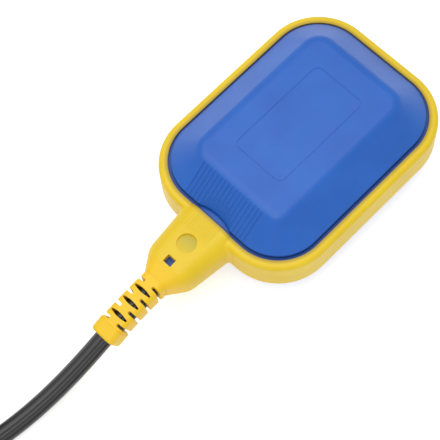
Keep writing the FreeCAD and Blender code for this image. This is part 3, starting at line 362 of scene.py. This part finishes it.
corePvc = {
    core: mouldedPlastic("extruded " + core + " PVC", {
        "deep": shades[0], "light": shades[1], "cloudMm": 4, "grainMm": 0.3, "grainStrength": 0.1,
        "grainDepthMm": 0.02, "ior": 1.53, "roughness": 0.38})
    for core, shades in {"brown": ("#5a3420", "#623a24"), "black": ("#1c1c1e", "#232325"),
                         "blue": ("#1d55b4", "#2460c4")}.items()}
polishedSteel = metal("polished bearing steel", {"colour": "#c9cacc", "roughness": 0.12, "markMm": 0.8})
zincSteel = metal("zinc-plated steel", {"colour": "#b9bcbf", "roughness": 0.32, "markMm": 0.5})
tinnedBrass = metal("tinned brass", {"colour": "#c9b27a", "roughness": 0.3, "markMm": 0.6})
bareCopper = metal("bare copper", {"colour": "#c58a66", "roughness": 0.35, "markMm": 0.4})

nodeFinish = {
    "overmould": yellowPvc, "upper_shell": bluePolypropylene, "lower_shell": bluePolypropylene,
    "cable_seal": sealRubber, "coil_tie": blackNylon, "switch_carrier": greyAbs,
    "race_cover": greyAbs, "carrier_screws": zincSteel, "microswitch_screws": zincSteel,
    "steel_ball": polishedSteel, "microswitch_case": blackNylon, "microswitch_cover": blackNylon,
    "microswitch_plunger": redNylon, "switch_lever": zincSteel, "lever_pin": zincSteel,
    "terminal_common": tinnedBrass, "terminal_open": tinnedBrass, "terminal_closed": tinnedBrass,
    "receptacles": tinnedBrass, "core_brown": corePvc["brown"], "core_black": corePvc["black"],
    "core_blue": corePvc["blue"], "lead_brown": corePvc["brown"], "lead_black": corePvc["black"],
    "lead_blue": corePvc["blue"], "lead_ends": bareCopper, "cable": sheathRubber,
    "cable_coil": sheathRubber,
}
for name, finish in nodeFinish.items():
    nodes[name].data.materials.clear()
    nodes[name].data.materials.append(finish)
print("materials made:", len(bpy.data.materials))


# the camera comes first, because the cable's coil lies just outside its view

camera = {
    "azimuth": -40.127, "elevation": 67.087, "roll": -5.821,   # degrees
    "aim": (-47.1, -2.2, 29.25),     # mm, the point at the middle of the view
    "distance": 574.8,
    "lens": 120.5, "sensor": 36.0,
}


def makeCamera():
    az, el, roll = (math.radians(camera[k]) for k in ("azimuth", "elevation", "roll"))
    back = Vector((math.sin(az) * math.cos(el), -math.cos(az) * math.cos(el), math.sin(el)))
    flat = Vector((math.cos(az), math.sin(az), 0))
    up = back.cross(flat)
    right = flat * math.cos(roll) + up * math.sin(roll)
    up = up * math.cos(roll) - flat * math.sin(roll)
    data = bpy.data.cameras.new("camera")
    data.lens = camera["lens"]
    data.sensor_width = camera["sensor"]
    item = bpy.data.objects.new("camera", data)
    bpy.context.scene.collection.objects.link(item)
    place = (Vector(camera["aim"]) + back * camera["distance"]) * mm
    item.matrix_world = Matrix.Translation(place) @ Matrix((right, up, back)).transposed().to_4x4()
    bpy.context.scene.camera = item


makeCamera()
print("camera made")


# the cable: a given route to the coil, then the coil's turns

cable = {
    "diameter": 7.8,        # mm, over the sheath
    "length": 2000,
    "exit": (-72.0, 0.0, 20.75),
    # the route from the sheath's end in the float to the start of the coil
    "route": [(-44.2, 0.0, 20.75), (-96.2, 0.0, 20.75), (-125.7, 0.2, 9.66), (-150.0, 1.9, 4.0),
              (-172.1, 5.0, 4.0), (-196.05, 6.045, 4.0)],
    "coilCentre": (-194.0, 53.0),
    "entryAngle": 267.5,    # degrees, where the cable meets the coil
    "outerTurn": 47.0,      # radius of the coil's outermost turn
    "turnPitch": 8.0,
    "layerTurns": 2.0,
    "turns": 7.5,
    "floorGap": 4.0,        # height of the lowest turns' centre
    "layers": 4,
    "layerHeight": 7.8,
    "climb": 0.2,           # turns that a step up to the next layer takes
    "pointsPerTurn": 16,
    # creases along the sheath: degrees round it, half width in degrees, depth in mm
    "creases": [(246, 4.5, 0.3), (207, 8, 0.45), (66, 4.5, 0.3), (27, 8, 0.45)],
    # the section's points: one every so many degrees, and closer round a crease, at these
    # shares of its half width
    "sectionStep": 9, "creaseClear": 2.4, "creasePoints": (-2, -1.2, -0.6, 0, 0.6, 1.2, 2),
    "hollow": 0.12,         # how far the sheath sinks round each crease
    "hollowWidth": 17,      # and over how many degrees
    "twist": 0.1,           # degrees that the creases turn in each millimetre
}

# the nylon tie round the coil; its places count from the strap's inner face at its outermost
tie = {
    "angle": 120.0,         # degrees round the coil, as the strap in the CAD
    "width": 4.0, "thick": 1.0, "slack": 0.05,
    "edge": 0.3, "shoulder": 0.7,        # the strap's softened edge, and its share of the thickness
    "liftSpread": 14.0,     # degrees over which the turns rise on to the strap
    "outlineStep": 9,       # degrees between the points round each turn
    "headLength": 6.0, "headWidth": 5.6, "headHeight": 4.2, "headBevel": 0.6, "headSink": 0.2,
    "headDrop": 9.0,        # the head's middle below the strap's highest point
    "tail": 11.0, "tailInner": 1.4, "tailOuter": 2.4, "tailInHead": 1, "tailBevel": 0.3,
    "toothPitch": 1.0, "toothHeight": 0.5, "toothHalfWidth": 1.3, "toothBevel": 0.1,
    "toothInner": 1.15, "toothOuter": 1.5, "firstTooth": 1.2,
}


def smoothStep(t):
    t = min(max(t, 0.0), 1.0)
    return t * t * (3 - 2 * t)


def turnPlace(turn):
    # radius, angle and height: a flat spiral inwards, the next layer outwards, and so on up
    layer = min(int(turn // cable["layerTurns"]), cable["layers"] - 1)
    along = turn - layer * cable["layerTurns"]
    inner = cable["outerTurn"] - cable["turnPitch"] * cable["layerTurns"]
    radius = (cable["outerTurn"] - cable["turnPitch"] * along if layer % 2 == 0
              else inner + cable["turnPitch"] * along)
    steps = (turn / cable["layerTurns"] - k for k in range(1, cable["layers"]))
    climbed = sum(smoothStep(0.5 + s * cable["layerTurns"] / cable["climb"]) for s in steps)
    angle = cable["entryAngle"] - 360 * turn
    offTie = (angle - tie["angle"] + 180) % 360 - 180
    lift = tie["thick"] * math.exp(-(offTie / tie["liftSpread"]) ** 2)
    return radius, math.radians(angle), cable["floorGap"] + cable["layerHeight"] * climbed + lift


def roundCentre(radius, angle, height):
    centre = cable["coilCentre"]
    return centre[0] + radius * math.cos(angle), centre[1] + radius * math.sin(angle), height


def coilPoint(turn):
    radius, angle, height = turnPlace(turn)
    # control points stand a little outside the curve
    spread = math.cos(math.pi / cable["pointsPerTurn"]) ** 0.5
    return roundCentre(radius / spread, angle, height)


def smoothLine(name, points):
    curve = bpy.data.curves.new(name, "CURVE")
    curve.dimensions = "3D"
    curve.resolution_u = 8
    spline = curve.splines.new("NURBS")
    spline.points.add(len(points) - 1)
    for point, place in zip(spline.points, points):
        point.co = (*(Vector(place) * mm), 1.0)
    spline.order_u = 3
    spline.use_endpoint_u = True
    return curve


def readPath(curve):
    holder = bpy.data.objects.new(curve.name, curve)
    bpy.context.scene.collection.objects.link(holder)
    bpy.context.view_layer.update()
    mesh = bpy.data.meshes.new_from_object(holder)
    places = [vertex.co.copy() for vertex in mesh.vertices]
    bpy.data.meshes.remove(mesh)
    bpy.data.objects.remove(holder)
    return places


def linkPiece(name, mesh, material):
    mesh.materials.append(material)
    piece = bpy.data.objects.new(name, mesh)
    bpy.context.scene.collection.objects.link(piece)
    return piece


def sweepTube(name, path, section, twist, material):
    # section is a ring of (degrees, radius in mm); the frame is carried along the path, and
    # twist turns the ring by so many degrees in each millimetre
    mesh = bpy.data.meshes.new(name)
    build = bmesh.new()
    carried = build.verts.layers.float_vector.new("along")
    sunk = build.verts.layers.float.new("sunk")
    full = max(radius for _, radius in section)
    rings, distance = [], 0.0
    side = Vector((0, 1, 0))
    for k, centre in enumerate(path):
        ahead = (path[min(k + 1, len(path) - 1)] - path[max(k - 1, 0)]).normalized()
        side = (side - ahead * side.dot(ahead)).normalized()
        up = ahead.cross(side)
        if k:
            distance += (centre - path[k - 1]).length
        streak = distance * sheathLook["streakMm"] / sheathLook["streakLengthMm"]
        ring = []
        for place, radius in section:
            angle = math.radians(place + twist * distance / mm)
            vertex = build.verts.new(centre + (side * math.cos(angle) + up * math.sin(angle)) * radius * mm)
            own = math.radians(place)
            vertex[carried] = Vector((radius * mm * math.cos(own), radius * mm * math.sin(own), streak))
            vertex[sunk] = full - radius
            ring.append(vertex)
        rings.append(ring)
    sides = len(section)
    for before, after in zip(rings, rings[1:]):
        for j in range(sides):
            k = (j + 1) % sides
            build.faces.new((before[j], before[k], after[k], after[j]))
    build.faces.new(rings[0])
    build.faces.new(list(reversed(rings[-1])))
    bmesh.ops.recalc_face_normals(build, faces=build.faces)
    for face in build.faces:
        face.smooth = len(face.verts) == 4
    build.to_mesh(mesh)
    build.free()
    return linkPiece(name, mesh, material)


def sheathSection():
    # round, but sunk a little between the cores, with a fine crease in each hollow
    places = {float(p) for p in range(0, 360, cable["sectionStep"])}
    for place, width, _ in cable["creases"]:
        clear = cable["creaseClear"] * width
        places = {p for p in places if abs((p - place + 180) % 360 - 180) > clear}
        places |= {(place + share * width) % 360 for share in cable["creasePoints"]}
    ring = []
    for place in sorted(places):
        sunk = 0.0
        for crease, width, depth in cable["creases"]:
            off = (place - crease + 180) % 360 - 180
            around = cable["hollow"] * math.exp(-(off / cable["hollowWidth"]) ** 2)
            sunk += depth * math.exp(-(off / width) ** 2) + around
        ring.append((place, cable["diameter"] / 2 - sunk))
    return ring


turnCount = int(cable["turns"] * cable["pointsPerTurn"])
cableLine = smoothLine("cable line", cable["route"] + [
    coilPoint(cable["turns"] * k / turnCount) for k in range(1, turnCount + 1)])
cablePath = readPath(cableLine)
print("cable path:", len(cablePath), "points,",
      round(sum((b - a).length for a, b in zip(cablePath, cablePath[1:])), 4), "m")
sheath = sweepTube("rubberCable", cablePath, sheathSection(), cable["twist"], sheathRubber)
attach(sheath, "float")
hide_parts("cable", "cable_coil")


# the stripped cores at the cable's far end, and their bare strands

leads = {
    # mm: the cores' places in the sheath, then the rings that they lie on, as in the CAD
    "radius": 1.3, "coreOffset": 1.6, "outerRise": 0.5, "middleRise": -0.9,
    "circle": 46.6, "gap": 2.9, "height": 24.8,
    # degrees round the coil: start inside the sheath, sweep, the strands', fall to their ring
    "inSheath": 2, "sweep": 60.0, "inCore": 1, "strandSweep": 8.0, "drop": 14.0,
    "steps": 20, "sides": 20, "strandSteps": 6, "strandSides": 10,
    "strands": 7, "strandRadius": 0.26, "strandCircle": 0.48, "strandTurns": 1.2,
    "order": {"brown": -1, "black": 0, "blue": 1},
}
endRadius, endAngle, endHeight = turnPlace(cable["turns"])


def leadPoint(side, past):
    # past is in degrees beyond the sheath's end
    fall = smoothStep((past + leads["inSheath"]) / leads["drop"])
    fromRadius = endRadius + leads["coreOffset"] * side
    fromHeight = endHeight + leads["coreOffset"] * (leads["outerRise"] if side else leads["middleRise"])
    toRadius = leads["circle"] + leads["gap"] * side
    return roundCentre(fromRadius + (toRadius - fromRadius) * fall,
                       endAngle - math.radians(past), fromHeight + (leads["height"] - fromHeight) * fall)


def strandBundle(name, path):
    # fine wires twisted round a middle one
    mesh = bpy.data.meshes.new(name)
    build = bmesh.new()
    length = len(path) - 1
    sides = leads["strandSides"]
    for wire in range(leads["strands"]):
        rings = []
        for k, centre in enumerate(path):
            ahead = (path[min(k + 1, length)] - path[max(k - 1, 0)]).normalized()
            side = ahead.cross(Vector((0, 0, 1))).normalized()
            up = side.cross(ahead)
            if wire:
                angle = 2 * math.pi * (wire / (leads["strands"] - 1) + leads["strandTurns"] * k / length)
                centre = centre + (side * math.cos(angle) + up * math.sin(angle)) * leads["strandCircle"] * mm
            rings.append([build.verts.new(centre + (side * math.cos(turn) + up * math.sin(turn))
                                          * leads["strandRadius"] * mm)
                          for turn in (2 * math.pi * j / sides for j in range(sides))])
        for before, after in zip(rings, rings[1:]):
            for j in range(sides):
                k = (j + 1) % sides
                build.faces.new((before[j], before[k], after[k], after[j]))
        build.faces.new(rings[0])
        build.faces.new(list(reversed(rings[-1])))
    bmesh.ops.recalc_face_normals(build, faces=build.faces)
    for face in build.faces:
        face.smooth = len(face.verts) == 4
    build.to_mesh(mesh)
    build.free()
    return mesh


strandMeshes = []
leadSection = [(360 / leads["sides"] * k, leads["radius"]) for k in range(leads["sides"])]
for core, side in leads["order"].items():
    steps = [(leads["sweep"] + leads["inSheath"]) * k / leads["steps"] - leads["inSheath"]
             for k in range(leads["steps"] + 1)]
    line = readPath(smoothLine("lead line", [leadPoint(side, past) for past in steps]))
    piece = sweepTube("lead" + core.capitalize(), line, leadSection, 0, corePvc[core])
    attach(piece, "float")
    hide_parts("lead_" + core)
    steps = [leads["sweep"] - leads["inCore"]
             + (leads["strandSweep"] + leads["inCore"]) * k / leads["strandSteps"]
             for k in range(leads["strandSteps"] + 1)]
    strandMeshes.append(strandBundle("strands", readPath(
        smoothLine("strand line", [leadPoint(side, past) for past in steps]))))

build = bmesh.new()
for mesh in strandMeshes:
    build.from_mesh(mesh)
    bpy.data.meshes.remove(mesh)
strandMesh = bpy.data.meshes.new("leadStrands")
build.to_mesh(strandMesh)
build.free()
strands = linkPiece("leadStrands", strandMesh, bareCopper)
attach(strands, "float")
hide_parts("lead_ends")
print("leads made")


# the tie round the coil: a strap drawn tight on the turns, with its head and tail

def hullOutline(circles):
    # the taut outline round circles (x, y, radius)
    spots = [(x + r * math.cos(math.radians(a)), y + r * math.sin(math.radians(a)))
             for x, y, r in circles for a in range(0, 360, tie["outlineStep"])]
    spots.sort()

    def half(ordered):
        chain = []
        for spot in ordered:
            while len(chain) > 1:
                (ax, ay), (bx, by) = chain[-2:]
                if (bx - ax) * (spot[1] - ay) - (by - ay) * (spot[0] - ax) > 0:
                    break
                chain.pop()
            chain.append(spot)
        return chain[:-1]

    return half(spots) + half(reversed(spots))


def tiePoint(radius, across, height):
    # a point at the tie's angle, across being along the coil's turns
    angle = math.radians(tie["angle"])
    out = Vector((math.cos(angle), math.sin(angle), 0))
    beside = Vector((-math.sin(angle), math.cos(angle), 0))
    centre = Vector((*cable["coilCentre"], 0))
    return (centre + out * radius + beside * across + Vector((0, 0, height))) * mm


def makeTie():
    first = (cable["entryAngle"] - tie["angle"]) / 360
    crossings = [turnPlace(first + k) for k in range(int(cable["turns"] - first) + 1)]
    inner = hullOutline([(radius, height, cable["diameter"] / 2 + tie["slack"])
                         for radius, _, height in crossings])
    build = bmesh.new()
    rings = []
    half, thick = tie["width"] / 2, tie["thick"]
    # a flat strap with softly rounded edges: (across, share of the thickness)
    side = [(half, 0.0), (half, tie["shoulder"]), (half - tie["edge"], 1.0)]
    profile = [(-across, rise) for across, rise in side] + list(reversed(side))
    count = len(inner)
    for k, (radius, height) in enumerate(inner):
        before, after = Vector(inner[k - 1]), Vector(inner[(k + 1) % count])
        along = (after - before).normalized()
        outward = Vector((along.y, -along.x))
        rings.append([build.verts.new(tiePoint(radius + outward.x * thick * rise, across,
                                               height + outward.y * thick * rise))
                      for across, rise in profile])
    for k, ring in enumerate(rings):
        following = rings[(k + 1) % count]
        for j in range(len(profile)):
            i = (j + 1) % len(profile)
            build.faces.new((ring[j], following[j], following[i], ring[i]))
    addTieHead(build, max(radius for radius, _ in inner),
               max(height for _, height in inner) - tie["headDrop"])
    bmesh.ops.recalc_face_normals(build, faces=build.faces)
    mesh = bpy.data.meshes.new("coilTie")
    build.to_mesh(mesh)
    build.free()
    piece = linkPiece("coilTie", mesh, blackNylon)
    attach(piece, "float")
    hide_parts("coil_tie")
    return piece


def addBlock(build, low, high, bevel):
    # a block in the tie's own axes: out from the coil, across, up
    made = bmesh.ops.create_cube(build, size=1.0)["verts"]
    for vertex in made:
        spot = [l + (h - l) * (c + 0.5) for l, h, c in zip(low, high, vertex.co)]
        vertex.co = tiePoint(*spot)
    edges = list({edge for vertex in made for edge in vertex.link_edges})
    bmesh.ops.bevel(build, geom=edges, offset=bevel * mm, segments=3, affect="EDGES", profile=0.5)


def addTieHead(build, outer, level):
    # the head, the strap's tail that hangs from it, and the tail's teeth
    width, high = tie["headWidth"], tie["headHeight"]
    bottom = level - tie["headLength"] / 2
    addBlock(build, (outer - tie["headSink"], -width / 2, bottom),
             (outer + high - tie["headSink"], width / 2, level + tie["headLength"] / 2), tie["headBevel"])
    addBlock(build, (outer + tie["tailInner"], -tie["width"] / 2, bottom - tie["tail"]),
             (outer + tie["tailOuter"], tie["width"] / 2, bottom + tie["tailInHead"]), tie["tailBevel"])
    for k in range(int(tie["tail"] / tie["toothPitch"])):
        low = bottom - tie["firstTooth"] - k * tie["toothPitch"]
        addBlock(build, (outer + tie["toothInner"], -tie["toothHalfWidth"], low),
                 (outer + tie["toothOuter"], tie["toothHalfWidth"], low + tie["toothHeight"]),
                 tie["toothBevel"])


coilTie = makeTie()
print("cable, leads and tie made")


# studio: white paper under a large soft lamp, with a small one in front

studio = {
    "paper": "#fdfdfc", "paperSize": 3.0, "paperDrop": 0.0001,    # metres
    "paperGlow": 0.5,                # lifts the paper to white for the camera and in reflections
    "skyStrength": 0.63,
    # soft boxes: place and size in metres, power in watts
    "lamps": {"overhead box": ((-0.1, 0.2, 1.15), 1.25, 8.0),
              "front box": ((-0.6, -0.36, 1.04), 0.3, 1.4)},
}


def seenRays(tree):
    # 1 for the camera's rays and for mirrored and transmitted ones
    rays = addNode(tree, "LightPath")
    seen = addNode(tree, "Math", {0: (rays, "Is Camera Ray"), 1: (rays, "Is Glossy Ray")},
                   operation="MAXIMUM")
    return addNode(tree, "Math", {0: (seen, 0), 1: (rays, "Is Transmission Ray")}, operation="MAXIMUM"), 0


def makeFloor():
    size = studio["paperSize"]
    mesh = bpy.data.meshes.new("paper")
    mesh.from_pydata([(-size, -size, 0), (size, -size, 0), (size, size, 0), (-size, size, 0)], [],
                     [(0, 1, 2, 3)])
    material, tree = startMaterial("matt white paper")
    paper = addNode(tree, "BsdfDiffuse", {"Color": hexToLinear(studio["paper"])})
    glow = addNode(tree, "Emission", {"Strength": studio["paperGlow"]})
    bright = addNode(tree, "AddShader", {0: (paper, 0), 1: (glow, 0)})
    shader = addNode(tree, "MixShader", {0: seenRays(tree), 1: (paper, 0), 2: (bright, 0)})
    addNode(tree, "OutputMaterial", {"Surface": (shader, 0)})
    floor = linkPiece("paper", mesh, material)
    floor.location.z = -studio["paperDrop"]


def makeLamps():
    for name, (place, size, power) in studio["lamps"].items():
        data = bpy.data.lights.new(name, "AREA")
        data.shape = "SQUARE"
        data.size = size
        data.energy = power
        lamp = bpy.data.objects.new(name, data)
        lamp.location = place
        lamp.rotation_euler = (Vector(place) - Vector((0, 0, middle))).to_track_quat("Z", "Y").to_euler()
        bpy.context.scene.collection.objects.link(lamp)


def makeWorld():
    world = bpy.data.worlds.new("studio")
    bpy.context.scene.world = world
    world.use_nodes = True
    tree = world.node_tree
    tree.nodes.clear()
    soft = addNode(tree, "Background", {"Strength": studio["skyStrength"]})
    white = addNode(tree, "Background", {"Strength": 1.0})
    mix = addNode(tree, "MixShader", {0: seenRays(tree), 1: (soft, 0), 2: (white, 0)})
    addNode(tree, "OutputWorld", {"Surface": (mix, 0)})


makeFloor()
makeLamps()
makeWorld()
bpy.context.scene.view_settings.view_transform = "Standard"
print("studio made")
